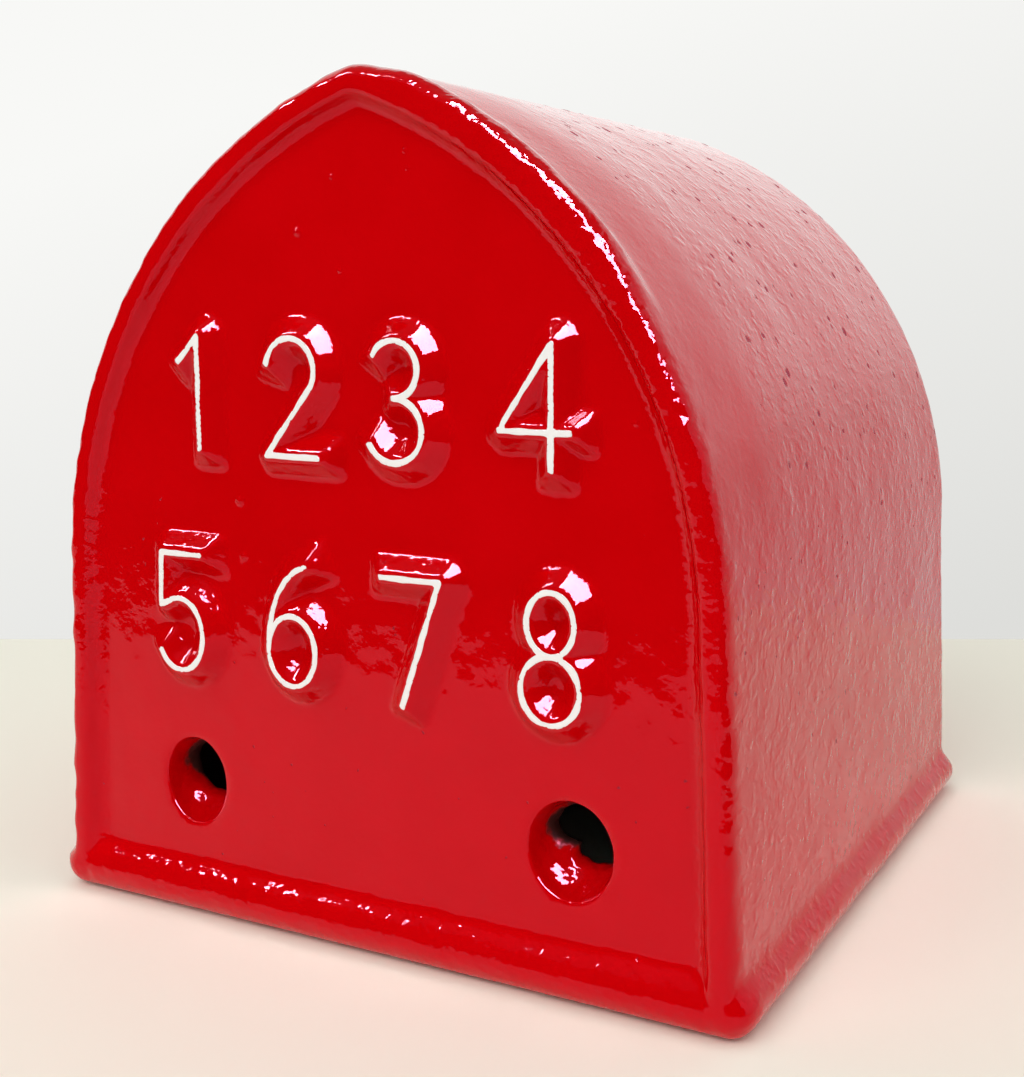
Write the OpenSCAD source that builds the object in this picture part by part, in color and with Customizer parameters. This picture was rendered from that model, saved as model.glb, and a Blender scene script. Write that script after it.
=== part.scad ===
// Hydrant marker: a hollow cast-iron hood with a pointed-arch front, fixed over the head of a
// timber post by two bolts through its front wall. Millimetres, Z up, front face towards -Y,
// origin on the ground under the middle of the casting.

/* [Body] */
// width across the side walls, at the ground
body_w = 173; // [165:1:185]
// overall depth, over the base bead front and back
depth = 182; // [160:1:210]
// lean of each side wall, so that the pattern lifts from the mould (degrees)
draft = 2.7; // [1:0.1:4]
// thickness of every wall
wall = 12; // [8:0.5:16]
// rounding of the long edges, front and back
edge_r = 3; // [2:0.5:4]

/* [Pointed arch] */
// height of the arc centres above the ground
spring_z = 79.5; // [70:0.5:90]
// distance of each arc centre past the middle line
arch_off = 33.3; // [25:0.1:45]
// rounding of the ridge
ridge_r = 12; // [11:0.5:18]

/* [Front rim] */
// width of the raised rim, outside edge to the top of its cove
rim_w = 6; // [5:0.5:7]
// depth of the panel below the rim, and radius of the cove between them
rim_h = 4; // [3:0.25:4]

/* [Base bead] */
// radius of the half-round bead
bead_r = 6; // [5:0.5:7]
// how far the bead stands out from the side and rear walls
bead_out = 2.8; // [2:0.1:4]
// how far the bead stands out from the front rim
bead_lip = 0.5; // [0.3:0.1:1]
// rounding of the bead's corners, seen from above
bead_corner = 4; // [3:0.5:6]

/* [Fixing holes] */
// distance between the two holes
hole_gap = 97; // [80:1:110]
// height of the holes above the ground
hole_z = 32; // [28:0.5:45]
// radius of the bore that the bolt passes through
bore_r = 8; // [6:0.25:9]
// radius of the flared mouth at the panel
mouth_r = 10.25; // [9.5:0.25:12]
// depth of the flare
mouth_depth = 7; // [4:0.5:7.5]

/* [Hidden] */
$fn = 96;
over = 1; // cutters run past the faces they cut by this much
bend_n = 6; // chords in each quarter turn of a section
lap = 1; // the hoop reaches this far in past the edge of the panel

half_w = body_w / 2;
// width of the hoop: the rim and its cove
band_w = rim_w + rim_h;
rim_y = -depth / 2 + bead_lip;
panel_y = rim_y + rim_h;
rear_y = depth / 2 - bead_out;

// radius that makes each arc tangent to its leaning side wall
arch_r = (half_w + arch_off) * cos(draft) - spring_z * sin(draft);
ridge_z = spring_z + sqrt(pow(arch_r - ridge_r, 2) - pow(arch_off, 2));
// angle, from the horizontal, at which an arc hands over to the ridge
ridge_a = atan2(ridge_z - spring_z, arch_off);
// the foot of the hoop is hidden inside the bead
hoop_z = bead_r - 1;

iron_red = [0.72, 0.05, 0.06];

// Pie slice of a circle about c, between angles a0 and a1.
module sector(c, r, a0, a1) {
    intersection() {
        translate(c) circle(r);
        polygon(concat([c], [for (a = [a0, (a0 + a1) / 2, a1]) c + 2 * r * [cos(a), sin(a)]]));
    }
}

// Outline of the arch, inset by a given amount, with its foot at a given height.
module arch(inset = 0, foot = 0) {
    r = arch_r - inset;
    rounded = inset < ridge_r;
    t1 = [-arch_off + r * cos(draft), spring_z + r * sin(draft)];
    t2 = [-arch_off + r * cos(ridge_a), spring_z + r * sin(ridge_a)];
    x0 = t1[0] + (t1[1] - foot) * tan(draft);
    polygon([[-x0, foot], [x0, foot], t1, [0, t1[1] + t1[0] / 2], [-t1[0], t1[1]]]);
    for (s = [0, 1]) mirror([s, 0])
        sector([-arch_off, spring_z], r, draft, rounded ? ridge_a : acos(arch_off / r));
    if (rounded) {
        sector([0, ridge_z], ridge_r - inset, ridge_a, 180 - ridge_a);
        polygon([t2, [0, (t2[1] + ridge_z + ridge_r - inset) / 2], [-t2[0], t2[1]],
            [0, ridge_z - ridge_r]]);
    }
}

// A prism of the arch between two depths.
module arch_prism(y0, y1, inset = 0, foot = 0) {
    translate([0, y1, 0]) rotate([90, 0, 0]) linear_extrude(y1 - y0) arch(inset, foot);
}

// Carries a section round one side of the arch. In the section X is measured outwards from
// the outline and Y is measured towards the front.
module sweep_side() {
    t1 = [-arch_off + arch_r * cos(draft), spring_z + arch_r * sin(draft)];
    // leaning side wall
    translate([t1[0], 0, t1[1]]) rotate([0, -draft, 0]) rotate([180, 0, 0])
        linear_extrude((t1[1] - hoop_z) / cos(draft)) children();
    // main arc
    translate([-arch_off, 0, spring_z]) rotate([90, 0, 0]) rotate([0, 0, draft])
        rotate_extrude(angle = ridge_a - draft) translate([arch_r, 0]) children();
    // half of the ridge
    translate([0, 0, ridge_z]) rotate([90, 0, 0]) rotate([0, 0, ridge_a])
        rotate_extrude(angle = 90 - ridge_a) translate([ridge_r, 0]) children();
}

module sweep_arch() {
    sweep_side() children();
    mirror([1, 0, 0]) sweep_side() children();
}

// Points along an arc from angle a0 to a1, in short chords.
function bend(c, r, a0, a1) = [for (i = [0:bend_n]) let (a = a0 + (a1 - a0) * i / bend_n)
    c + r * [cos(a), sin(a)]];

// Section of the hoop that runs from front to back round the arch. It carries the raised rim,
// rounded outside and coved inside, and the rounded rear edge. The cove's first chord runs on
// under the panel, so that the panel's edge is a clean crossing of the two.
module hoop_section() {
    step = 90 / bend_n;
    polygon(concat(
        [[-band_w - lap, -panel_y - wall], [-band_w - lap, -panel_y - lap * tan(step / 2)]],
        bend([-band_w, -rim_y], rim_h, step - 90, 0),
        bend([-edge_r, -rim_y - edge_r], edge_r, 90, 0),
        bend([-edge_r, -rear_y + edge_r], edge_r, 0, -90),
        [[-band_w - lap, -rear_y]]));
}

// A slab whose ends are half round, as seen along one side of the base.
module bead_profile(len) {
    x = len / 2 - bead_r;
    polygon(concat(
        bend([x, bead_r], bead_r, -90, 0), bend([x, bead_r], bead_r, 0, 90),
        bend([-x, bead_r], bead_r, 90, 180), bend([-x, bead_r], bead_r, 180, 270)));
}

module base_bead() {
    w = body_w + 2 * bead_out;
    x = w / 2 - bead_corner;
    y = depth / 2 - bead_corner;
    intersection() {
        rotate([90, 0, 0]) linear_extrude(depth, center = true) bead_profile(w);
        rotate([90, 0, 90]) linear_extrude(w, center = true) bead_profile(depth);
        linear_extrude(2 * bead_r) polygon(concat(
            bend([x, y], bead_corner, 0, 90), bend([-x, y], bead_corner, 90, 180),
            bend([-x, -y], bead_corner, 180, 270), bend([x, -y], bead_corner, 270, 360)));
    }
}

module fixing_hole() {
    translate([0, panel_y, 0]) rotate([-90, 0, 0]) {
        translate([0, 0, -over]) cylinder(r = bore_r, h = wall + 2 * over);
        cylinder(r1 = mouth_r, r2 = bore_r, h = mouth_depth);
    }
}

module hood() {
    color(iron_red) difference() {
        union() {
            sweep_arch() hoop_section();
            arch_prism(panel_y, rear_y, inset = band_w - lap / 2, foot = bead_r);
            base_bead();
        }
        arch_prism(panel_y + wall, rear_y - wall, inset = wall, foot = -over);
        for (s = [-1, 1]) translate([s * hole_gap / 2, 0, hole_z]) fixing_hole();
    }
}

hood();
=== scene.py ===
# %% [markdown]
# # A hydrant marker in cast iron and gloss enamel
# The real thing is a hollow hood of cast iron, as tall as a hand, that goes over the head of a post.
# Its front is a pointed arch: a panel sunk inside a raised rim, with raised numerals whose crowns were
# picked out by hand in white. It was cast in sand and then brushed with so much red enamel that every
# edge went round. The shape is made here as one closed skin, in mesh code, because a casting is one piece.

# %% Load the frame
import math

import bmesh
import bpy
import numpy as np
from mathutils import Matrix, Vector, geometry, noise
from mathutils.kdtree import KDTree


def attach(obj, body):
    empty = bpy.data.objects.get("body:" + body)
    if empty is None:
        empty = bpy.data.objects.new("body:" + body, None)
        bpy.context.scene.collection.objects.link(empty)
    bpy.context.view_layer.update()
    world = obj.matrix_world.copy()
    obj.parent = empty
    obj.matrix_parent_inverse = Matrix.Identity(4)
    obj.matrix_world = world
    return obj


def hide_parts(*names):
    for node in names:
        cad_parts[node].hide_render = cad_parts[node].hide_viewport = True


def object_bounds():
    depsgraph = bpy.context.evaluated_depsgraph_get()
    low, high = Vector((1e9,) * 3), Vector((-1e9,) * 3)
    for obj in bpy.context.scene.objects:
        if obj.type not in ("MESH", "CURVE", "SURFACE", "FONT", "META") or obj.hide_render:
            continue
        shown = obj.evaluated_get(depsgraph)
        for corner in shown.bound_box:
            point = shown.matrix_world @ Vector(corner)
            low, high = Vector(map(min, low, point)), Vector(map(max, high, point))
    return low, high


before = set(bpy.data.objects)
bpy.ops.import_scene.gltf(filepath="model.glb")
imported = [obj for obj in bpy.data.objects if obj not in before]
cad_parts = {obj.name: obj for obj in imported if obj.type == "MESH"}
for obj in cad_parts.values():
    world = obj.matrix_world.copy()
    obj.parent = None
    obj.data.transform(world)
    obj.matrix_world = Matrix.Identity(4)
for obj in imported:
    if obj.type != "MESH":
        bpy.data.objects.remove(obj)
cad_low, cad_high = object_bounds()
MM = 0.001  # one millimetre in Blender's metres
print("the casting in mm:", [round(side / MM, 1) for side in cad_high - cad_low])

# %% [markdown]
# ## The sizes
# A pattern maker draws the arch first: two large arcs, each tangent to a side wall that leans inward so
# that the pattern lifts out of the sand, and a small arc for the ridge. The rest is measured from that
# outline. Lengths are in millimetres until the mesh is made, and the overall box comes from the frame.

# %% Driving sizes
BEAD_R = 6.0  # half-round bead at the foot
BEAD_OUT = 2.8  # how far it stands out from the side and rear walls
BEAD_LIP = 0.5  # how far it stands out from the rim
WALL = 12.0
RIM_W = 6.0  # flat rim, outside edge to the top of its cove
RIM_H = 4.0  # depth of the panel, and radius of the cove
EDGE_R = 3.0  # rounding of the long edges, measured in the front's plane
LEAN = math.radians(2.7)
SPRING_Z = 79.5  # height of the arc centres
ARC_OFF = 33.3  # each arc centre lies this far past the middle
RIDGE_R = 12.0
HOLE_X = 48.5  # each bolt hole lies this far from the middle
HOLE_Z = 32.0

FRONT_Y = cad_low.y / MM
REAR_Y = cad_high.y / MM
HALF_W = cad_high.x / MM - BEAD_OUT
RIM_Y = FRONT_Y + BEAD_LIP
PANEL_Y = RIM_Y + RIM_H
BACK_Y = REAR_Y - BEAD_OUT
BAND_W = RIM_W + RIM_H
BEAD_X = HALF_W + BEAD_OUT - BEAD_R  # the bead is drawn round the lines at BEAD_X and BEAD_Y
BEAD_Y = REAR_Y - BEAD_R
ARC_R = (HALF_W + ARC_OFF) * math.cos(LEAN) - SPRING_Z * math.sin(LEAN)
RIDGE_Z = SPRING_Z + math.sqrt((ARC_R - RIDGE_R) ** 2 - ARC_OFF**2)
RIDGE_A = math.atan2(RIDGE_Z - SPRING_Z, ARC_OFF)
print(f"arc radius {ARC_R:.1f} mm, top of the ridge {RIDGE_Z + RIDGE_R:.1f} mm")

# %% [markdown]
# ## The outline of the arch
# Every ring of the skin is this outline moved inward by some distance, so one function gives them all.
# It also works the other way: given a point, how far inside the outline does it lie? The second form is
# a small signed distance, and it later tells the paint and the lumps where they are.


# %% Outline of the arch
def spaced(start, stop, step):
    """Evenly spaced values from start to stop, about one step apart."""
    return np.linspace(start, stop, max(2, round(abs(stop - start) / step) + 1))


def outline(inset, foot, step, ridge_step=1.0):
    """Points (x, z) of the outline moved inward by inset, from the right foot over the ridge to the left."""
    radius = ARC_R - inset
    spring_x = -ARC_OFF + radius * math.cos(LEAN)
    spring_z = SPRING_Z + radius * math.sin(LEAN)
    legs = round((ARC_R * math.sin(LEAN) + SPRING_Z) / step)
    leg_z = foot + (spring_z - foot) * np.arange(legs) / legs
    leg = np.stack([spring_x + (spring_z - leg_z) * math.tan(LEAN), leg_z], 1)
    bends = round(ARC_R * (RIDGE_A - LEAN) / step)
    a = LEAN + (RIDGE_A - LEAN) * np.arange(bends) / bends
    arc = np.stack([-ARC_OFF + radius * np.cos(a), SPRING_Z + radius * np.sin(a)], 1)
    a = spaced(RIDGE_A, math.pi / 2, ridge_step / RIDGE_R)
    ridge = np.stack([np.cos(a), np.sin(a)], 1) * (RIDGE_R - inset) + [0, RIDGE_Z]
    right = np.concatenate([leg, arc, ridge])
    return np.concatenate([right, right[-2::-1] * [-1, 1]])


# %% Distance in from the outline
def inset_of(x, z):
    """How far inside the outline a point (x, z) lies."""
    x = np.abs(x)
    leg = (HALF_W - x - z * math.tan(LEAN)) * math.cos(LEAN)
    arc = ARC_R - np.hypot(x + ARC_OFF, z - SPRING_Z)
    ridge = RIDGE_R - np.hypot(x, z - RIDGE_Z)
    a = np.arctan2(z - SPRING_Z, x + ARC_OFF)
    return np.where(a < LEAN, leg, np.where(a > RIDGE_A, ridge, arc))


# %% Top of the bead
def bead_top(x, y):
    """Height of the bead's upper surface over a point of the plan."""
    dx = np.maximum(np.abs(x) - BEAD_X, 0)
    dy = np.maximum(np.abs(y) - BEAD_Y, 0)
    return BEAD_R + np.sqrt(np.maximum(BEAD_R**2 - dx**2 - dy**2, 0))


# %% [markdown]
# ## The hoop: cove, rim, edge and side in one sweep
# A moulder sees one section carried round the arch: up out of the cove, over the flat rim, round the
# front edge, back along the side and round the rear edge. Thick paint has eased the front edge, which
# turns faster in the front's plane than towards the rear. Sweeping a section gives even quads, which take
# lumps and paint well. The hoop's foot is cut where it meets the bead, so that the two share their points.

# %% Hoop section and sweep
SIDE_STEP = 1.55  # grid of the outer skin
EDGE_BACK = 5.0  # the front edge eases into the side over this depth
FRONT_TURN = [0, 7, 14, 22, 32, 44, 58, 74, 90]  # degrees, closer together where the bend is tight


def quarter(cx, cy, r, a0, a1, n):
    """n points along an arc, angles in degrees."""
    a = np.radians(np.linspace(a0, a1, n))
    return np.stack([cx + r * np.cos(a), cy + r * np.sin(a)], 1)


def hoop_section():
    """Points (inset, y) of the section, from the edge of the panel to the edge of the rear wall."""
    cove = quarter(BAND_W, RIM_Y, RIM_H, 90, 180, 7)
    rim = np.array([[RIM_W - 1, RIM_Y], [RIM_W - 2, RIM_Y]])
    turn = np.radians(FRONT_TURN)
    front_edge = np.stack([EDGE_R * (1 - np.sin(turn)), RIM_Y + EDGE_BACK * (1 - np.cos(turn))], 1)
    side_y = spaced(RIM_Y + EDGE_BACK, BACK_Y - EDGE_R, SIDE_STEP)[1:-1]
    side = np.stack([np.zeros_like(side_y), side_y], 1)
    rear_edge = quarter(EDGE_R, BACK_Y - EDGE_R, EDGE_R, 180, 90, 5)
    return np.concatenate([cove, rim, front_edge, side, rear_edge])


# %% Foot of the hoop
def foot_x(inset, z):
    """Distance from the middle to a leaning leg of the hoop, at height z."""
    return HALF_W - inset / math.cos(LEAN) - z * math.tan(LEAN)


def foot_height(inset, y):
    """Height at which a line of the hoop comes down on the bead."""
    z = 2 * BEAD_R
    for _ in range(5):
        z = float(bead_top(foot_x(inset, z), y))
    return z


# %% Sweep
section = hoop_section()
hoop = []
for inset, y in section:
    hoop.append(np.insert(outline(inset, foot_height(inset, y), SIDE_STEP), 1, y, axis=1))
hoop = np.array(hoop)
print("hoop rows and columns:", hoop.shape[:2])

# %% [markdown]
# ## The bead
# The bead is a half-round rib along the foot, with a ball at each corner. It is drawn as a fan of arcs
# that starts at each point of the foot line and turns down to the ground.

# %% Bead
PANEL_STEP = 1.4
REAR_STEP = 2.4
BEAD_CHORDS = 13


def foot_line(y, inset, step):
    """The line, left to right, along which a wall at depth y meets the bead."""
    z = foot_height(inset, y)
    x = spaced(-foot_x(inset, z), foot_x(inset, z), step)
    return np.stack([x, np.full(len(x), y), np.full(len(x), z)], 1)


panel_foot = foot_line(PANEL_Y, BAND_W, PANEL_STEP)
rear_foot = foot_line(BACK_Y, EDGE_R, REAR_STEP)
base_loop = np.concatenate(
    [panel_foot[:-1], hoop[:-1, 0], rear_foot[:0:-1], hoop[:0:-1, -1]]
)


# %% Arcs of the bead
def bead_rows(top):
    """Rows of points from the foot line round the bead to the ground."""
    core = np.stack([np.clip(top[:, 0], -BEAD_X, BEAD_X), np.clip(top[:, 1], -BEAD_Y, BEAD_Y)], 1)
    out = top[:, :2] - core
    reach = np.linalg.norm(out, axis=1)
    out /= reach[:, None]
    start = np.arctan2(top[:, 2] - BEAD_R, reach)
    rows = [top]
    for share in np.linspace(0, 1, BEAD_CHORDS + 1)[1:]:
        a = start + (-math.pi / 2 - start) * share
        plan = core + out * (BEAD_R * np.cos(a))[:, None]
        rows.append(np.column_stack([plan, BEAD_R + BEAD_R * np.sin(a)]))
    return np.array(rows)


bead = bead_rows(base_loop)
print("bead rows and columns:", bead.shape[:2])

# %% [markdown]
# ## The numerals
# The pattern maker pins ridge figures to the pattern: bars with a roof-shaped section, whose ends slope
# away too. Each numeral is a few strokes, straight or curved. The height of the roof at any point then
# depends only on the distance to the nearest stroke, which gives hips at the ends and valleys where
# strokes meet, as on the real bars.


# %% Strokes
def bow(cx, cz, rx, rz, a0, a1):
    """Points along an elliptical arc, angles in degrees."""
    a = np.radians(np.linspace(a0, a1, max(4, round(abs(a1 - a0) / 12))))
    return [(cx + rx * math.cos(t), cz + rz * math.sin(t)) for t in a]


# %% Numerals
# Each numeral is drawn in a box one unit wide and one unit high.
NUMERALS = {
    "1": [[(0.18, 0.78), (0.62, 1), (0.62, 0)]],
    "2": [bow(0.5, 0.73, 0.46, 0.27, 168, -28) + [(0.02, 0), (1, 0)]],
    "3": [bow(0.46, 0.765, 0.42, 0.235, 150, -90), bow(0.46, 0.265, 0.5, 0.265, 90, -152)],
    "4": [[(0.74, 0), (0.74, 1), (0, 0.3), (1, 0.3)]],
    "5": [[(0.94, 1), (0.1, 1), (0.06, 0.55)] + bow(0.46, 0.31, 0.5, 0.31, 118, -150)],
    "6": [bow(0.9, 0.3, 0.86, 0.7, 98, 180), bow(0.49, 0.29, 0.46, 0.29, 0, 360)],
    "7": [[(0, 1), (1, 1), (0.36, 0)]],
    "8": [bow(0.5, 0.76, 0.38, 0.24, 0, 360), bow(0.5, 0.26, 0.47, 0.26, 0, 360)],
}
# numeral, left edge, foot, width, height in mm
LAYOUT = [
    ("1", -48, 110.5, 12, 24.5),
    ("2", -22.5, 110.0, 13.5, 25),
    ("3", 4, 110.0, 13.5, 25),
    ("4", 34.5, 110.5, 15.5, 24.5),
    ("5", -54, 59.5, 13, 27),
    ("6", -23.5, 59.5, 13.5, 27),
    ("7", 6.5, 59.0, 14, 27),
    ("8", 39, 59.5, 14, 27),
]


# %% Pieces of the strokes
def stroke_segments():
    """Every straight piece of every stroke: its two ends, and whether each is a free end of the stroke."""
    pieces = []
    for figure, left, foot, width, height in LAYOUT:
        for stroke in NUMERALS[figure]:
            points = [np.array([left + x * width, foot + z * height]) for x, z in stroke]
            loop = np.hypot(*(points[0] - points[-1])) < 0.01
            for k, (a, b) in enumerate(zip(points, points[1:])):
                pieces.append((a, b, k == 0 and not loop, k == len(points) - 2 and not loop))
    return pieces


SEGMENTS = stroke_segments()
print("stroke pieces:", len(SEGMENTS))

# %% Distance to a stroke
SQUARE = 5  # power of the distance past a free end: 2 gives a cone, a large number a mitred hip


def crown_distance(points):
    """Distance in mm from points (x, z) of the panel to the nearest stroke, squared off past free ends."""
    nearest = np.full(len(points), 1e3)
    for start, stop, free_start, free_stop in SEGMENTS:
        length = np.hypot(*(stop - start))
        along = (stop - start) / length
        rel = points - start
        t = rel @ along
        across_it = np.abs(rel @ [-along[1], along[0]])
        past = np.maximum(t - length, -t)
        power = np.where(np.where(t < 0, free_start, free_stop), SQUARE, 2)
        beyond = (across_it**power + np.maximum(past, 0) ** power) ** (1 / power)
        nearest = np.minimum(nearest, np.where(past > 0, beyond, across_it))
    return nearest


# %% [markdown]
# ## The panel
# A flat grid would blur the ridges, so the panel's points are laid along the ridges' own lines: the
# crown, its two edges and the base. Between them comes a fine honeycomb of points near the numerals and a
# coarser one elsewhere. Delaunay's rule then joins them all into triangles.

# %% Points of the panel
CROWN_HALF = 0.9  # half width of the flat on top of a ridge
BASE_HALF = 4.9
RELIEF = 4.5
# small blobs of paint: x, z, radius, height in mm
PIMPLES = [
    (-15.8, 157, 1.3, 0.8), (-5.3, 149, 0.8, 0.5), (-33.2, 99, 1.3, 0.9), (-32.6, 86.5, 1.0, 0.8),
    (10.8, 172.5, 0.7, 0.4), (11.4, 169, 0.6, 0.4), (-7, 168, 0.8, 0.5), (62, 120, 0.7, 0.4),
]


# %% Points along a contour
def contour_points(distance, step):
    """Points that lie just that far from the strokes, about one step apart."""
    found = []
    for start, stop, free_start, free_stop in SEGMENTS:
        length = np.hypot(*(stop - start))
        along = (stop - start) / length
        normal = np.array([-along[1], along[0]])
        count = max(1, round(length / step))
        for t in (np.arange(count) + 0.5) / count:
            found += [start + (stop - start) * t + normal * distance * side for side in (-1, 1)]
        turns = max(8, round(1.2 * math.pi * distance / step))
        for a in np.linspace(-math.pi / 2, math.pi / 2, turns):
            for end, forth, free in ((start, -along, free_start), (stop, along, free_stop)):
                c, s = math.cos(a), math.sin(a)
                power = SQUARE if free else 2
                reach = distance / (abs(c) ** power + abs(s) ** power) ** (1 / power)
                found.append(end + (forth * c + normal * s) * reach)
    found = np.array(found)
    return found[np.abs(crown_distance(found) - distance) < 0.02]


# %% Points down the hips
def hip_points():
    """Points along the two creases of each square-cut stroke end."""
    down_the_hip = np.arange(CROWN_HALF, BASE_HALF, 0.45)
    found = []
    for start, stop, free_start, free_stop in SEGMENTS:
        along = (stop - start) / np.hypot(*(stop - start))
        normal = np.array([-along[1], along[0]])
        for end, forth, free in ((start, -along, free_start), (stop, along, free_stop)):
            for side in (-1, 1) if free else ():
                found += [end + (forth + normal * side) * k for k in down_the_hip]
    return np.array(found)


# %% Honeycomb
def honeycomb(step):
    """A honeycomb of points over the panel's box."""
    x = np.arange(-HALF_W, HALF_W, step)
    z = np.arange(0, RIDGE_Z + RIDGE_R, step * math.sqrt(3) / 2)
    grid = np.array([(u + (k % 2) * step / 2, v) for k, v in enumerate(z) for u in x])
    return grid[inset_of(grid[:, 0], grid[:, 1]) > BAND_W]


# %% [markdown]
# Points that crowd each other would give slivers for triangles. So the batches go in one after another, the
# most important lines first, and a point is left out where another already lies within the spacing.


# %% Thinning out
def spread(batches, taken):
    """Adds each batch of (points, spacing) in turn, leaving out points that crowd those already there."""
    kept = [Vector((*p, 0)) for p in taken]
    made = []
    for points, spacing in batches:
        earlier = KDTree(len(kept))
        for index, p in enumerate(kept):
            earlier.insert(p, index)
        earlier.balance()
        cells = {}
        for p in points:
            v = Vector((*p, 0))
            gap = earlier.find(v)[2]
            if gap is not None and gap < spacing:
                continue
            i, j = int(p[0] // spacing), int(p[1] // spacing)
            near = [q for u in (-1, 0, 1) for w in (-1, 0, 1) for q in cells.get((i + u, j + w), ())]
            if any((q - v).length < spacing for q in near):
                continue
            cells.setdefault((i, j), []).append(v)
            kept.append(v)
            made.append(p)
    return np.array(made)


# %% [markdown]
# ## Bolt holes
# The holes were cored, so their mouths are a little oval and flared, and the sand sagged on the floor of
# each bore. A burr of sand and iron stayed in the right one. Each hole is a tube of rings from the panel
# to the hollow, rougher towards the inside.

# %% Rings of the bolt holes
# centre x, half width and half height of the mouth, how far the floor of the bore has sagged into it,
# and 1 where the burr stayed
HOLES = [(-HOLE_X, 8.6, 10.2, 2.0, 0), (HOLE_X, 9.5, 10.5, 3.0, 1)]
BORE_R = 7.9
HOLE_SIDES = 72
BURR_AT, BURR_DEPTH = math.radians(208), 9.5
# depth of each ring below the panel, extra flare, and its share of the way from the mouth to the bore
HOLE_RINGS = [(0, 0.55, 0), (0.2, 0.2, 0), (0.6, 0, 0), (1.5, 0, 0.1), (3, 0, 0.3), (4.5, 0, 0.5),
              (6, 0, 0.7), (7, 0, 1), (8.2, 0, 1), (9.4, 0, 1), (10.6, 0, 1), (WALL, 0, 1)]
CAVITY_FRONT = PANEL_Y + WALL
CAVITY_REAR = BACK_Y - WALL


def hole_rings(cx, half_w, half_h, sag, burrs):
    """Rings of points from the panel's surface to the hollow."""
    a = np.arange(HOLE_SIDES) * 2 * math.pi / HOLE_SIDES
    rings = []
    for depth, flare, share in HOLE_RINGS:
        rx = (half_w + flare) * (1 - share) + min(BORE_R, half_w - 0.6) * share
        rz = (half_h + flare) * (1 - share) + BORE_R * share
        rough = 0.1 * min(1, depth) + 0.6 * (depth / WALL) ** 2
        ripple = [noise.noise(Vector((math.cos(t) * 3 + cx, math.sin(t) * 3, depth * 0.4))) for t in a]
        low = np.maximum(0, -np.sin(a + 0.35)) ** 1.5 * min(1, max(0, (depth - 3.5) / 5.5))
        r = 1 + (rough * np.array(ripple) - sag * low) / BORE_R
        burr = burrs * np.exp(-(((a - BURR_AT) / 0.42) ** 2) - ((depth - BURR_DEPTH) / 2) ** 2)
        r -= burr * (4.2 + 2.5 * np.array(ripple)) / BORE_R
        ring = [cx + rx * r * np.cos(a), np.full(len(a), PANEL_Y + depth), HOLE_Z + rz * r * np.sin(a)]
        rings.append(np.stack(ring, 1))
    return np.array(rings)


holes = [hole_rings(*hole) for hole in HOLES]
print("rings and sides of a bolt hole:", holes[0].shape[:2])

# %% [markdown]
# ## Flat walls
# The panel, the rear wall, the inner walls and the rim of the foot are flat, so each is a region between
# closed loops that is filled with triangles. A triangle belongs if its middle lies inside an odd number of
# the loops, which leaves the bolt holes open without any special case.


# %% Filling a flat region
def inside(points, loops):
    """True for each point that lies inside an odd number of the loops."""
    odd = np.zeros(len(points), bool)
    x, y = points.T
    for loop in loops:
        for (x0, y0), (x1, y1) in zip(loop, np.roll(loop, -1, 0)):
            if y0 != y1:
                odd ^= ((y0 > y) != (y1 > y)) & (x < (x1 - x0) * (y - y0) / (y1 - y0) + x0)
    return odd


# %% Triangles of a flat region
def fill(loops, between=()):
    """Triangles (points, faces) of the flat region between loops, with extra points in it."""
    # in Blender's own precision, so that straight edges stay exact
    loops = [np.float32(loop) for loop in loops]
    points = [Vector(p) for loop in loops for p in loop] + [Vector(p) for p in between]
    edges, start = [], 0
    for loop in loops:
        edges += [(start + i, start + (i + 1) % len(loop)) for i in range(len(loop))]
        start += len(loop)
    corners, _, faces, *_ = geometry.delaunay_2d_cdt(points, edges, [], 0, 1e-5)
    corners = np.array([tuple(p) for p in corners])
    faces = np.array([f for f in faces if len(f) == 3])
    return corners, faces[inside(corners[faces].mean(1), [loop.astype(float) for loop in loops])]


# %% Patches
XZ = [0, 2]
patches = []  # every patch is (points, faces)


def add_grid(grid, closed=False):
    """A patch of quads from rows of points; closed joins the last column to the first."""
    rows, columns = grid.shape[:2]
    index = np.arange(rows * columns).reshape(rows, columns)
    if closed:
        index = np.column_stack([index, index[:, 0]])
    quads = np.stack([index[:-1, :-1], index[:-1, 1:], index[1:, 1:], index[1:, :-1]], -1)
    patches.append((grid.reshape(-1, 3), quads.reshape(-1, 4)))


def add_wall(loops, y, between=()):
    """A flat patch at depth y from loops of (x, z)."""
    corners, faces = fill(loops, between)
    patches.append((np.insert(corners, 1, y, axis=1), faces))


# %% The outer skin
add_grid(hoop)
add_grid(bead, closed=True)

# %% Panel
panel_loop = np.concatenate([hoop[0][:, XZ], panel_foot[1:-1, XZ]])
mouths = [rings[0][:, XZ] for rings in holes]
FINE, MEDIUM = 0.75, 1.35
honey_fine, honey = honeycomb(FINE), honeycomb(MEDIUM)
pimple_points = np.array(
    [(x + r * k * math.cos(a), z + r * k * math.sin(a)) for x, z, r, _ in PIMPLES
     for k in (0, 0.35, 0.7, 1, 1.4) for a in np.arange(9) * 2 * math.pi / 9]
)
panel_points = spread(
    [
        (contour_points(CROWN_HALF, 0.6), 0.35),
        (contour_points(BASE_HALF, 0.8), 0.5),
        (hip_points(), 0.3),
        (pimple_points, 0.2),
        (honey_fine[crown_distance(honey_fine) < BASE_HALF + 1.6], FINE * 0.6),
        (honey, MEDIUM * 0.75),
    ],
    np.concatenate([panel_loop, *mouths]),
)
panel_points = panel_points[inside(panel_points, [panel_loop, *mouths])]
add_wall([panel_loop, *mouths], PANEL_Y, panel_points)
print("panel triangles:", len(patches[-1][1]))

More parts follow.
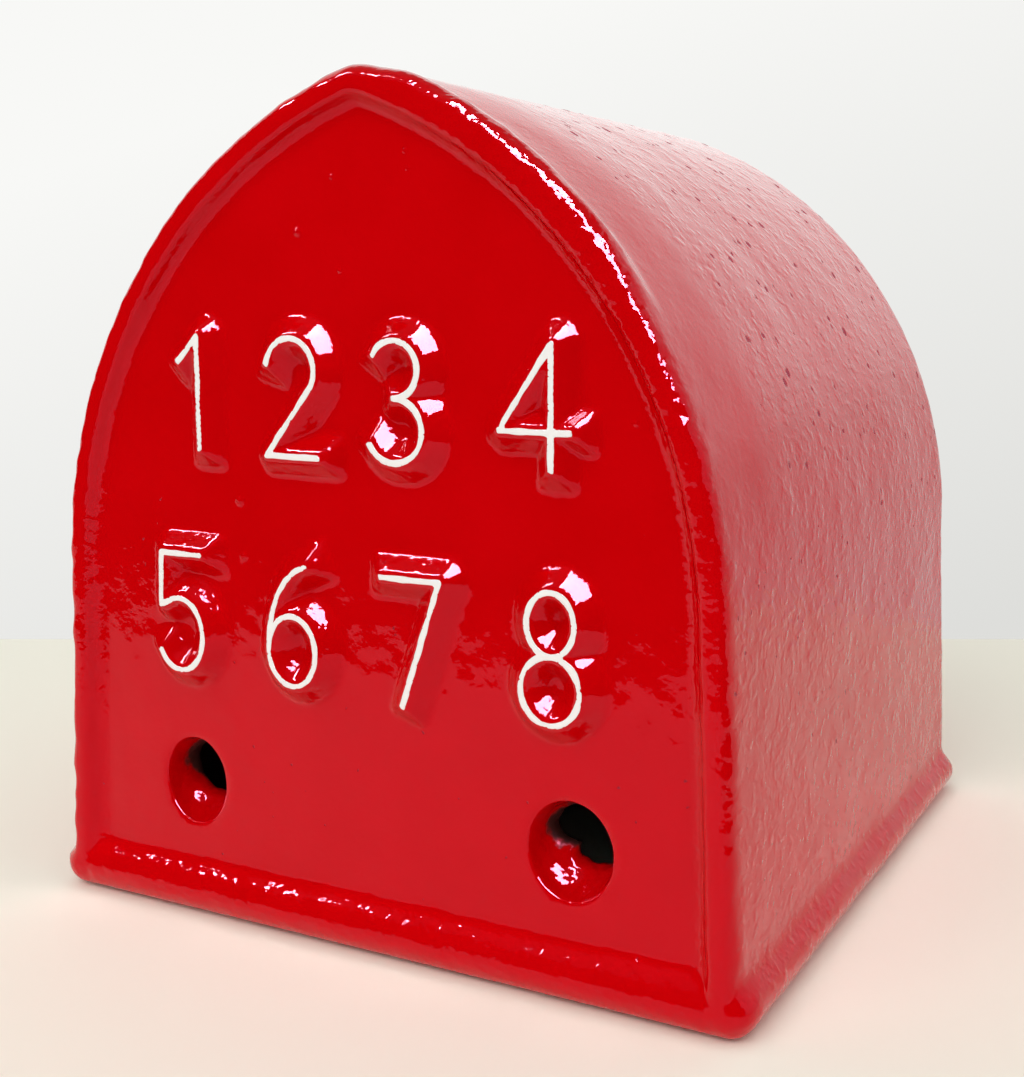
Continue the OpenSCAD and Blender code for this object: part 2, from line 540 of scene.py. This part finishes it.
# %% Rear wall
rear_loop = np.concatenate([hoop[-1][:, XZ], rear_foot[1:-1, XZ]])
rear_points = honeycomb(REAR_STEP)
rear_points = spread([(rear_points, REAR_STEP * 0.75)], rear_loop)
add_wall([rear_loop], BACK_Y, rear_points[inside(rear_points, [rear_loop])])

# %% The hollow
INNER_STEP = 3.6
inner_outline = outline(WALL, 0, INNER_STEP, ridge_step=9)
inner_y = spaced(CAVITY_FRONT, CAVITY_REAR, INNER_STEP)
hollow = np.array([np.insert(inner_outline, 1, y, axis=1) for y in inner_y])
add_grid(hollow)
floor_x = spaced(inner_outline[-1, 0], inner_outline[0, 0], INNER_STEP)[1:-1]
inner_foot = np.stack([floor_x, np.zeros(len(floor_x))], 1)
inner_loop = np.concatenate([inner_outline, inner_foot])
inner_honey = honeycomb(INNER_STEP)
bores = [rings[-1][:, XZ] for rings in holes]
for y, extra in ((CAVITY_FRONT, bores), (CAVITY_REAR, [])):
    loops = [inner_loop, *extra]
    points = spread([(inner_honey, INNER_STEP * 0.7)], np.concatenate(loops))
    add_wall(loops, y, points[inside(points, loops)])
for rings in holes:
    add_grid(rings, closed=True)

# %% The ring that it stands on
right_foot, left_foot = hollow[:, 0, :2], hollow[::-1, -1, :2]
front_foot = np.stack([floor_x, np.full(len(floor_x), CAVITY_FRONT)], 1)
back_foot = np.stack([floor_x[::-1], np.full(len(floor_x), CAVITY_REAR)], 1)
mouth_loop = np.concatenate([front_foot, right_foot, back_foot, left_foot])
ground = bead[-1, :, :2]
ground = ground[np.linalg.norm(ground - np.roll(ground, 1, 0), axis=1) > 1e-6]
corners, faces = fill([ground, mouth_loop])
patches.append((np.insert(corners, 2, 0, axis=1), faces))
print("patches of the skin:", len(patches))

# %% [markdown]
# ## One skin
# The patches share their border points, so welding what lies within two thousandths of a millimetre joins
# them into one closed surface. The count of open edges proves it.


# %% Weld
WELD = 0.002


def weld(parts):
    """One mesh from the patches, in millimetres."""
    skin = bmesh.new()
    for points, faces in parts:
        corners = [skin.verts.new(p) for p in points]
        for face in faces:
            skin.faces.new([corners[i] for i in face])
    bmesh.ops.remove_doubles(skin, verts=skin.verts, dist=WELD)
    bmesh.ops.recalc_face_normals(skin, faces=skin.faces)
    loose = [v for v in skin.verts if not v.link_faces]
    bmesh.ops.delete(skin, geom=loose, context="VERTS")
    open_edges = sum(not e.is_manifold for e in skin.edges)
    mesh = bpy.data.meshes.new("hood_casting")
    skin.to_mesh(mesh)
    skin.free()
    triangles = sum(len(p.vertices) - 2 for p in mesh.polygons)
    print(f"skin: {len(mesh.vertices)} points, {triangles} triangles, {open_edges} open edges")
    return mesh


mesh = weld(patches)
co = np.empty(len(mesh.vertices) * 3)
mesh.vertices.foreach_get("co", co)
co = co.reshape(-1, 3)

# %% [markdown]
# ## Ridges and pimples
# The panel's points rise to the height of the ridges, and a few small blobs of paint rise beside them.
# Crown and base of a ridge are rounded by the paint, so the roof is drawn with soft bends.


# %% Relief of the panel
def soft_floor(x, blur):
    """Zero below zero and x above it, with a round bend between."""
    return (x + np.sqrt(x * x + blur * blur)) / 2


def roof(distance):
    """Height of a ridge at some distance from its crown line."""
    slope = RELIEF / (BASE_HALF - CROWN_HALF)
    rising = soft_floor((BASE_HALF - distance) * slope, 0.5)
    return RELIEF - soft_floor(RELIEF - rising, 0.35)


def ramp(x, low, high):
    """0 below low, 1 above high, smooth between."""
    t = np.clip((x - low) / (high - low), 0, 1)
    return t * t * (3 - 2 * t)


# %% Raise the ridges
inset = inset_of(co[:, 0], co[:, 2])
on_panel = (np.abs(co[:, 1] - PANEL_Y) < 1e-4) & (inset > BAND_W - 1e-3)
crown = np.full(len(co), 99.0)
crown[on_panel] = crown_distance(co[on_panel][:, XZ])
co[on_panel, 1] -= roof(crown[on_panel])
for x, z, radius, height in PIMPLES:
    apart = np.hypot(co[:, 0] - x, co[:, 2] - z) / radius
    co[:, 1] -= np.where(on_panel, height * np.exp(-2.2 * apart**2), 0)
print("points of the panel:", np.count_nonzero(on_panel))

# %% [markdown]
# ## Soft corners
# Thick paint fills every inner corner. A point that moves a little towards the middle of its neighbours,
# several times over, does the same. Only the points by the bead, by the cove's lip and in the hollow do.

# %% Soft corners
edges = np.empty(len(mesh.edges) * 2, int)
mesh.edges.foreach_get("vertices", edges)
edges = edges.reshape(-1, 2)
links = np.bincount(edges.ravel(), minlength=len(co))


def relax(points, amount, rounds):
    """Moves each point towards the middle of its neighbours by its own amount, several times."""
    for _ in range(rounds):
        total = np.zeros_like(points)
        for axis in range(3):
            total[:, axis] = (np.bincount(edges[:, 0], points[edges[:, 1], axis], len(points))
                              + np.bincount(edges[:, 1], points[edges[:, 0], axis], len(points)))
        points = points + amount[:, None] * (total / links[:, None] - points)
    return points


# %% Where the corners soften
outer = (inset < BAND_W + 1) | (co[:, 1] < CAVITY_FRONT - WALL / 2) | (co[:, 1] > CAVITY_REAR + WALL / 2)
near_bead = ramp(co[:, 2], 7, 9.5) * ramp(-co[:, 2], -15.5, -13) * outer
rim_lip = np.exp(-(((inset - RIM_W) / 1.2) ** 2)) * (co[:, 1] < RIM_Y + 1.5)
outer |= (co[:, 1] < CAVITY_FRONT - 0.01) & (inset > BAND_W)  # the bolt holes too
hollow_skin = ~outer & (co[:, 2] > 1)
softness = np.clip(0.5 * near_bead + 0.5 * rim_lip + 0.35 * hollow_skin, 0, 0.5)
softness[np.abs(co[:, 2]) < 0.01] = 0  # the foot stays flat
co = relax(co, softness, 7)
print("softened points:", np.count_nonzero(softness > 0.01))

# %% [markdown]
# ## Swells and lumps
# Sand gives way under iron. That leaves broad swells a finger wide, and lumps of a few millimetres that
# are stronger on the sides than on the panel. Each is smooth noise of a real size, times a height in
# millimetres, times the zone that it belongs to. The sand gave way most along the right shoulder of the
# arch: the rim stands there as a proud roll, and the side behind it bulges a little.

# %% Swells and lumps
def lump_field(points, size, seed):
    """Smooth noise from -1 to 1 whose lumps are about that many millimetres across."""
    return np.array([noise.noise(Vector(p) / size + Vector((seed, 0, 0))) for p in points])


# %% Directions to lift in
mesh.vertices.foreach_set("co", co.ravel())
mesh.update()
normals = np.empty(len(co) * 3)
mesh.vertices.foreach_get("normal", normals)
normals = normals.reshape(-1, 3)

# %% Zones of the casting
behind = ramp(co[:, 1], RIM_Y + 1, RIM_Y + 5)  # 0 on the front, 1 on the sides and the rear
smooth_band = ramp(-co[:, 1], 50, 60) * ramp(co[:, 2], 85, 115)
sandy = behind * (1 - 0.7 * smooth_band) * outer
frame_zone = (1 - behind) * ~on_panel * outer
front_corner = ramp(-co[:, 1], 82, 86) * ramp(-inset, -5, -2) * (co[:, 2] > 12)
calm = ramp(crown, 0, 3)  # the ridges keep their lines
left_mottle = ramp(-co[:, 0], 20, 55) * ramp(co[:, 2], 55, 85)
# %% Lumps by zone
lift = lump_field(co, 26, 3.1) * np.where(on_panel, 0.10, 0.22)
lift += lump_field(co, 9, 11.7) * calm * np.where(on_panel, 0.045, 0.1)
lift += on_panel * left_mottle * 0.10 * lump_field(co * [1, 1, 0.5], 5, 52.3)
lift += sandy * 0.13 * lump_field(co * [1, 0.6, 1], 3.6, 27.9)
lift += frame_zone * 0.14 * lump_field(co, 4.2, 63.5)
lift += front_corner * 0.34 * lump_field(co, 3.8, 71.2)
lift += 0.5 * hollow_skin * lump_field(co, 6, 41.3)
print(f"swells and lumps: {lift.min():.2f} to {lift.max():.2f} mm")

# %% The right shoulder
ROLL, BULGE = 1.6, 0.9
roll = ramp(co[:, 0], 2, 14) * ramp(co[:, 2], 136, 156) * ramp(-co[:, 1], 81.5, 86.5)
bulge = ramp(co[:, 0], 2, 14) * ramp(co[:, 2], 85, 130) * ramp(co[:, 1], -84, -56) * ramp(-co[:, 1], 0, 56)
lift += BULGE * bulge * (inset < RIM_W)
co += normals * lift[:, None] * ramp(co[:, 2], 0, 4)[:, None]
outward = np.stack([co[:, 0] + ARC_OFF, co[:, 2] - SPRING_Z], 1)
outward /= np.linalg.norm(outward, axis=1)[:, None]
co[:, XZ] += outward * (ROLL * roll * ramp(RIM_W - inset, 0, 3))[:, None]
co[:, 2] = np.maximum(co[:, 2], 0)

mesh.vertices.foreach_set("co", (co * MM).astype(np.float32).ravel())
mesh.polygons.foreach_set("use_smooth", np.ones(len(mesh.polygons), bool))
mesh.update()

# %% [markdown]
# ## Marks for the paint
# The paint has to know where it is: how far from a crown, how rough the iron under it, how deep in a bore.
# Each of these is one number per point, kept on the mesh, and the material blends it between points.


# %% Marks for the paint
def mark(name, values):
    """Keeps one number per point on the mesh, for a material to read."""
    layer = mesh.attributes.new(name, "FLOAT", "POINT")
    layer.data.foreach_set("value", np.asarray(values, np.float32))


# %% What the paint is told
in_bore = (inset > BAND_W) & (co[:, 1] < CAVITY_FRONT + 0.5)
bore_depth = np.clip((co[:, 1] - PANEL_Y) / WALL, 0, 1) * in_bore
panel_rough = 0.16 + 0.2 * left_mottle + 0.3 * ramp(-crown, -6, -4)
upper_side = ramp(co[:, 2], 75, 105) * ramp(co[:, 1], -62, -50)
shoulder = ramp(co[:, 0], 0, 30) * ramp(co[:, 2], 60, 110)
# deeper in each bolt hole, less below its centre, the colour turns to a dull brown; over the inside of the
# hollow it is bare iron
below_hole_centre = 0.5 * ramp(HOLE_Z - co[:, 2], -2, 5)
mark("crown_mm", crown)
mark("rough", np.where(on_panel, panel_rough, np.where(in_bore, 0.7, sandy + 0.4 * frame_zone)))
mark("pitted", sandy * (0.35 + 0.65 * upper_side))
mark("grit", frame_zone * (0.2 + 0.8 * shoulder) + 0.7 * bore_depth)
mark("brown_share", np.where(outer, 1.2 * bore_depth * (1 - below_hole_centre), 1) * (co[:, 2] > 0.5))

# %% The piece
hood = bpy.data.objects.new("hood_casting", mesh)
bpy.context.scene.collection.objects.link(hood)
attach(hood, "root")
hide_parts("hood")
print("the casting has the marks:", [layer.name for layer in mesh.attributes if layer.data_type == "FLOAT"])

# %% [markdown]
# ## Helpers for materials
# Colours are written as they would be picked in a paint program, and one function turns them to linear
# light. One more function adds a node with its settings and links. Handed a whole node, it takes that
# node's first output in use. A pattern in object space has a scale of one over its real size.


# %% Colour and node helpers
def srgb(code):
    """Linear RGBA from a hex colour such as C8000A."""
    channels = [int(code[i : i + 2], 16) / 255 for i in (0, 2, 4)]
    return (*[c / 12.92 if c <= 0.04045 else ((c + 0.055) / 1.055) ** 2.4 for c in channels], 1)


def scale_of(size):
    """The scale of a pattern whose lumps or cells are about that many millimetres across."""
    return 1 / (size * MM)


def add(tree, kind, settings=None, **inputs):
    """Adds a node; settings are its properties, inputs are values, sockets or nodes by name or number."""
    node = tree.nodes.new("ShaderNode" + kind)
    for name, value in (settings or {}).items():
        setattr(node, name, value)
    for name, value in inputs.items():
        socket = node.inputs[int(name[1:])] if name[0] == "_" else node.inputs[name.replace("_", " ")]
        if isinstance(value, bpy.types.Node):
            value = next(output for output in value.outputs if output.enabled)
        if isinstance(value, bpy.types.NodeSocket):
            tree.links.new(value, socket)
        else:
            socket.default_value = value
    return node


def new_material(name):
    """An empty node material and its tree."""
    material = bpy.data.materials.new(name)
    material.use_nodes = True
    material.node_tree.nodes.clear()
    return material, material.node_tree


TIMES = {"operation": "MULTIPLY"}
PLUS = {"operation": "ADD"}
TIMES_PLUS = {"operation": "MULTIPLY_ADD"}  # first times second, plus third
MORE_THAN = {"operation": "GREATER_THAN"}
LARGER = {"operation": "MAXIMUM"}
SMOOTH = {"interpolation_type": "SMOOTHSTEP"}
COLOURS = {"data_type": "RGBA"}

# %% [markdown]
# ## Red gloss enamel over sand-cast iron
# Enamel is pigment in a hard clear resin, so it is a dielectric of IOR 1.5 with a very low roughness: a
# deep colour under a sharp reflection. The red itself warms what it reflects when it is seen straight on,
# and a specular tint does that while the grazing reflection stays white. The next cells build it up as a
# painter would see it: the white on the crowns, the pin-holes, the colours, and last the heights.

# %% Where the paint lies
enamel, tree = new_material("red_gloss_enamel")
place = add(tree, "TexCoord").outputs["Object"]
crown_mm, rough, pitted, grit, brown_share = [
    add(tree, "Attribute", {"attribute_name": name}).outputs["Fac"]
    for name in ("crown_mm", "rough", "pitted", "grit", "brown_share")
]

# %% [markdown]
# The white is brushed on the crowns, 1.3 mm wide, by a hand that wanders a few tenths of a millimetre.

# %% White crowns
unsteady = add(tree, "TexNoise", Vector=place, Scale=scale_of(4.5), Detail=1.0)
wander = add(tree, "Math", TIMES_PLUS, _0=unsteady, _1=0.7, _2=-0.35)
reach = add(tree, "Math", PLUS, _0=crown_mm, _1=wander)
white = add(tree, "MapRange", SMOOTH, Value=reach, _1=0.6, _2=0.68, _3=1.0, _4=0.0)

# %% [markdown]
# Pin-holes in a sand-cast skin come in swarms. Each cell of 5 mm holds one at most, and its number by
# chance, raised where a swarm is, gives its radius in shares of the cell. Noise bends the cells, so that
# no hole is quite round.

# %% Pin-holes
uneven = add(tree, "TexNoise", Vector=place, Scale=scale_of(1.6), Detail=1.0).outputs["Color"]
ragged = add(tree, "VectorMath", TIMES_PLUS, _0=uneven, _1=(1.4 * MM,) * 3, _2=place)
cells = add(tree, "TexVoronoi", Vector=ragged, Scale=scale_of(5))
chance = add(tree, "SeparateColor", Color=cells.outputs["Color"])
crowds = add(tree, "TexNoise", Vector=place, Scale=scale_of(22), Detail=1.0)
swarm = add(tree, "Math", TIMES_PLUS, _0=crowds, _1=1.6, _2=-0.8)
likely = add(tree, "Math", PLUS, _0=chance, _1=swarm)
radius = add(tree, "MapRange", Value=likely, _1=0.1, _2=0.9, _3=0.0, _4=0.32)
radius = add(tree, "Math", TIMES, _0=radius, _1=pitted)
core = add(tree, "Math", TIMES, _0=radius, _1=0.3)
hole = add(tree, "MapRange", SMOOTH, Value=cells.outputs["Distance"], _1=core, _2=radius, _3=1.0, _4=0.0)
visible = add(tree, "Math", MORE_THAN, _0=radius, _1=0.05)
pit = add(tree, "Math", TIMES, _0=hole, _1=visible)

# %% [markdown]
# The red is a shade deeper in some places and darker down in the pits, where the darker red is painted
# shade.
# Deep in the bolt holes, less on their lower side, and over the inside the red gives out in a ragged edge to
# a dull brown; in the hollow that is bare iron.

# %% Colours of the paint
tone = add(tree, "TexNoise", Vector=place, Scale=scale_of(18), Detail=3.0)
red = add(tree, "Mix", COLOURS, Factor=tone, _6=srgb("C00003"), _7=srgb("CC0109"))
# the darker red down in the pits is painted shade
red = add(tree, "Mix", COLOURS, Factor=pit, _6=red, _7=srgb("900006"))
paint = add(tree, "Mix", COLOURS, Factor=white, _6=red, _7=srgb("F4F2F0"))

# %% Dull brown where the red gives out
rust = add(tree, "TexNoise", Vector=place, Scale=scale_of(5), Detail=4.0)
iron = add(tree, "Mix", COLOURS, Factor=rust, _6=srgb("1E100D"), _7=srgb("4A2A20"))
frayed = add(tree, "TexNoise", Vector=place, Scale=scale_of(3), Detail=4.0)
thin = add(tree, "Math", TIMES_PLUS, _0=frayed, _1=0.5, _2=brown_share)
painted = add(tree, "MapRange", SMOOTH, Value=thin, _1=0.75, _2=0.95, _3=1.0, _4=0.0)
colour = add(tree, "Mix", COLOURS, Factor=painted, _6=iron, _7=paint)

# %% Gloss
IRON_ROUGHNESS, PAINT_ROUGHNESS, PIT_ROUGHNESS = 0.7, 0.04, 0.8
skin_dull = add(tree, "MapRange", Value=painted, _3=IRON_ROUGHNESS, _4=PAINT_ROUGHNESS)
pit_dull = add(tree, "Math", TIMES, _0=pit, _1=PIT_ROUGHNESS)
dull = add(tree, "Math", LARGER, _0=skin_dull, _1=pit_dull)

# %% [markdown]
# Brushed on thickly, the paint levels out but not fully. It keeps an orange peel with waves 2.6 mm
# across, a twentieth of a millimetre high. On the sides the sand still shows through as knobs of 2.5 mm,
# drawn out a little from front to rear, with dents between them, and the rim and the bores are gritty.

# %% Heights in millimetres
peel = add(tree, "TexNoise", Vector=place, Scale=scale_of(2.6), Detail=2.5)
dragged = add(tree, "Mapping", Vector=place, Scale=(1, 0.75, 1))
coarse = add(tree, "TexNoise", Vector=dragged, Scale=scale_of(2.5), Detail=1.0)
knobs = add(tree, "MapRange", SMOOTH, Value=coarse, _1=0.46, _2=0.76)
hollows = add(tree, "TexNoise", Vector=dragged, Scale=scale_of(2.1), Detail=0.0)
dents = add(tree, "MapRange", SMOOTH, Value=hollows, _1=0.24, _2=0.42, _3=1.0, _4=0.0)
specks = add(tree, "TexNoise", Vector=place, Scale=scale_of(1.3), Detail=1.0)
gravel = add(tree, "TexNoise", Vector=place, Scale=scale_of(2.4), Detail=1.5)
grittiness = add(tree, "Math", TIMES, _0=gravel, _1=grit)

# %% Height of the whole
sand = 0.0
for form, high in ((knobs, 0.1), (dents, -0.04), (specks, 0.03)):
    sand = add(tree, "Math", TIMES_PLUS, _0=form, _1=high, _2=sand)
height = 0.0
for form, high in ((peel, 0.055), (sand, rough), (grittiness, 0.6), (pit, -0.12), (white, 0.12)):
    height = add(tree, "Math", TIMES_PLUS, _0=form, _1=high, _2=height)

# %% Enamel on the casting
bump = add(tree, "Bump", Height=height, Distance=MM, Strength=1.0)
gloss = add(tree, "BsdfPrincipled", Base_Color=colour, Roughness=dull, IOR=1.5,
            Specular_Tint=srgb("FF95BC"), Normal=bump)
add(tree, "OutputMaterial", Surface=gloss)
mesh.materials.append(enamel)
print(f"{enamel.name}: {len(tree.nodes)} nodes")

# %% [markdown]
# ## Camera
# The camera's place, turn and focal length are those from which the casting's outline falls as it does in
# the picture to be matched. The set is laid out from the camera's own directions, so it comes first.

# %% Camera values
CAMERA_AT = Vector((176.4, -348.8, 145.5)) * MM
YAW, PITCH = math.radians(28.29), math.radians(-9.47)
IMAGE_W, IMAGE_H = 1024, 1077
FOCAL_PIXELS = 1504.6
forward = Vector((-math.sin(YAW) * math.cos(PITCH), math.cos(YAW) * math.cos(PITCH), math.sin(PITCH)))
across = Vector((math.cos(YAW), math.sin(YAW), 0))
away = Vector((-math.sin(YAW), math.cos(YAW), 0))

# %% Put the camera in place
scene = bpy.context.scene
eye = bpy.data.objects.new("camera", bpy.data.cameras.new("camera"))
scene.collection.objects.link(eye)
eye.location = CAMERA_AT
eye.rotation_euler = forward.to_track_quat("-Z", "Y").to_euler()
eye.data.sensor_width = 36
eye.data.lens = FOCAL_PIXELS * eye.data.sensor_width / max(IMAGE_W, IMAGE_H)
eye.data.clip_start = 0.02
eye.data.clip_end = 20
scene.camera = eye
scene.view_settings.view_transform = "Standard"
print(f"lens: {eye.data.lens:.1f} mm")

# %% [markdown]
# ## Floor, flag and card
# Gloss paint shows its surroundings more than itself, so the set is plain: a pale floor that ends a hand
# behind the casting. A curved black flag stands in front, as in any product studio, and a black card in
# the shape of an L lies on the floor. They keep the panel's reflection deep, and only glossy rays see
# them.


# %% Floor
def sheet(name, corners, faces, colour, roughness):
    """A flat or folded sheet of one plain colour, for the set."""
    mesh = bpy.data.meshes.new(name)
    mesh.from_pydata([tuple(c) for c in corners], [], faces)
    placed = bpy.data.objects.new(name, mesh)
    scene.collection.objects.link(placed)
    material, tree = new_material(name)
    matt = add(tree, "BsdfPrincipled", Base_Color=srgb(colour), Roughness=roughness, Specular_IOR_Level=0.0)
    add(tree, "OutputMaterial", Surface=matt)
    mesh.materials.append(material)
    return placed


FLOOR_BACK, FLOOR_FRONT, FLOOR_SIDE = 0.225, 0.46, 2.0
floor_corners = [across * -FLOOR_SIDE + away * FLOOR_BACK, across * -FLOOR_SIDE - away * FLOOR_FRONT,
                 across * FLOOR_SIDE - away * FLOOR_FRONT, across * FLOOR_SIDE + away * FLOOR_BACK]
sheet("pale_floor", floor_corners, [(0, 1, 2, 3)], "FAF9EA", 0.5)

# %% Flag
MATT_BLACK = "0C0C0C"
FLAG_R, FLAG_H, FLAG_SIDES = 1.9, 1.9, 36
FLAG_LEFT, FLAG_RIGHT = math.radians(-95), math.radians(80)  # from the front, round towards +X
turns = np.linspace(FLAG_LEFT, FLAG_RIGHT, FLAG_SIDES + 1)
foot = [(FLAG_R * math.sin(a), -FLAG_R * math.cos(a), 0) for a in turns]
top = [(x, y, FLAG_H) for x, y, _ in foot]
strips = [(i, i + 1, i + FLAG_SIDES + 2, i + FLAG_SIDES + 1) for i in range(FLAG_SIDES)]
flag = sheet("black_flag", foot + top, strips, MATT_BLACK, 0.9)

# %% Card
CARD_Y, CARD_X = -0.32, 0.26  # the pale floor shows in the panel and in the right rim as far as these
card_plan = [(-2, CARD_Y), (CARD_X, CARD_Y), (CARD_X, 0), (2, 0), (2, -2), (-2, -2)]
card_corners = [(x, y, MM) for x, y in card_plan]
card = sheet("black_card", card_corners, [(0, 1, 5), (1, 2, 3, 4), (1, 4, 5)], MATT_BLACK, 0.9)
for black in (flag, card):
    black.visible_camera = black.visible_diffuse = black.visible_shadow = black.visible_transmission = False
print("seen by glossy rays alone:", flag.name, card.name)

# %% [markdown]
# ## Backdrop
# The world has two faces. Camera, glossy and transmission rays see a pale backdrop, a little greyer
# towards the floor and towards the right, which gives way to a darker grey overhead. All other rays see
# an even fill light, so the backdrop's colour never changes the light on the casting.

# %% Backdrop
world = bpy.data.worlds.new("studio")
scene.world = world
world.use_nodes = True
tree = world.node_tree
tree.nodes.clear()
path = add(tree, "LightPath")
seen = add(tree, "Math", LARGER, _0=path.outputs["Is Camera Ray"], _1=path.outputs["Is Glossy Ray"])
seen = add(tree, "Math", LARGER, _0=seen, _1=path.outputs["Is Transmission Ray"])

# %% Colours of the backdrop
direction = add(tree, "TexCoord").outputs["Generated"]
fall = Vector((0, 0, 2.1)) - across * 0.7
slope = add(tree, "VectorMath", {"operation": "DOT_PRODUCT"}, _0=direction, _1=fall).outputs["Value"]
paleness = add(tree, "Math", {"operation": "ADD", "use_clamp": True}, _0=slope, _1=0.65)
pale = add(tree, "Mix", COLOURS, Factor=paleness, _6=srgb("DEDEDB"), _7=srgb("F8F8F6"))
up = add(tree, "SeparateXYZ", Vector=direction).outputs["Z"]
overhead = add(tree, "MapRange", SMOOTH, Value=up, _1=0.62, _2=0.72)
tint = add(tree, "Mix", COLOURS, Factor=overhead, _6=pale, _7=srgb("686868"))

# %% World
fill_light = add(tree, "Background", Color=srgb("FFFFFF"), Strength=0.7)
backdrop = add(tree, "Background", Color=tint, Strength=1.0)
mixed = add(tree, "MixShader", _0=seen, _1=fill_light, _2=backdrop)
add(tree, "OutputWorld", Surface=mixed)
print(f"backdrop: {len(tree.nodes)} nodes")

# %% [markdown]
# ## Lamps
# Two lamps overhead give the small white glints on the ridges, the rim and the bead, and a large soft
# card behind the casting gives the pale sheen along its side. Only glossy rays see these three. A soft
# lamp in front, which glossy rays don't see, gives the plain light.

# %% Lamps
MIDDLE = Vector((0, 0, 0.09))


def lamp(name, start, stop, width, watts):
    """An area lamp whose long side runs from start to stop and which faces the casting."""
    start, stop = Vector(start), Vector(stop)
    back = ((start + stop) / 2 - MIDDLE).normalized()
    side = stop - start
    side = (side - back * side.dot(back)).normalized()
    data = bpy.data.lights.new(name, "AREA")
    data.shape = "RECTANGLE"
    data.size = (stop - start).length
    data.size_y = width
    data.energy = watts
    placed = bpy.data.objects.new(name, data)
    scene.collection.objects.link(placed)
    turn = Matrix((side, back.cross(side), back)).transposed()
    placed.matrix_world = Matrix.Translation((start + stop) / 2) @ turn.to_4x4()
    return placed


glint_right = lamp("glint_right", (0.0, -0.36, 1.35), (1.0, -0.5, 0.8), 0.55, 125)
glint_left = lamp("glint_left", (-1.0, -0.5, 1.0), (-0.5, -0.4, 1.2), 0.12, 13)
white_card = lamp("white_card", (-1.2, 1.6, 0.75), (1.4, 1.6, 0.75), 1.1, 2.5)
for glossy_only in (glint_right, glint_left, white_card):
    glossy_only.visible_diffuse = glossy_only.visible_camera = False
soft_front = lamp("soft_front", (-0.8, -1.3, 1.2), (0.9, -1.3, 1.2), 1.2, 11.5)
soft_front.visible_glossy = False

# %% [markdown]
# A card with hard edges would draw a hard edge in the gloss, so it fades out to all four sides: a number
# that runs from 0 to 1 across it, times what is left to 1, is 0 at both ends and a quarter in the middle.

# %% Soft edges of the white card
white_card.data.use_nodes = True
tree = white_card.data.node_tree
tree.nodes.clear()
on_card = add(tree, "SeparateXYZ", Vector=add(tree, "NewGeometry").outputs["Parametric"])
fade = 1.0
for along in (on_card.outputs["X"], on_card.outputs["Y"]):
    left = add(tree, "Math", {"operation": "SUBTRACT"}, _0=1.0, _1=along)
    hump = add(tree, "Math", TIMES, _0=along, _1=left)
    soft = add(tree, "MapRange", SMOOTH, Value=hump, _1=0.0, _2=0.22)
    fade = add(tree, "Math", TIMES, _0=soft, _1=fade)
glow = add(tree, "Emission", Strength=fade)
add(tree, "OutputLight", Surface=glow)
print("lamps:", [light.name for light in bpy.data.lights])
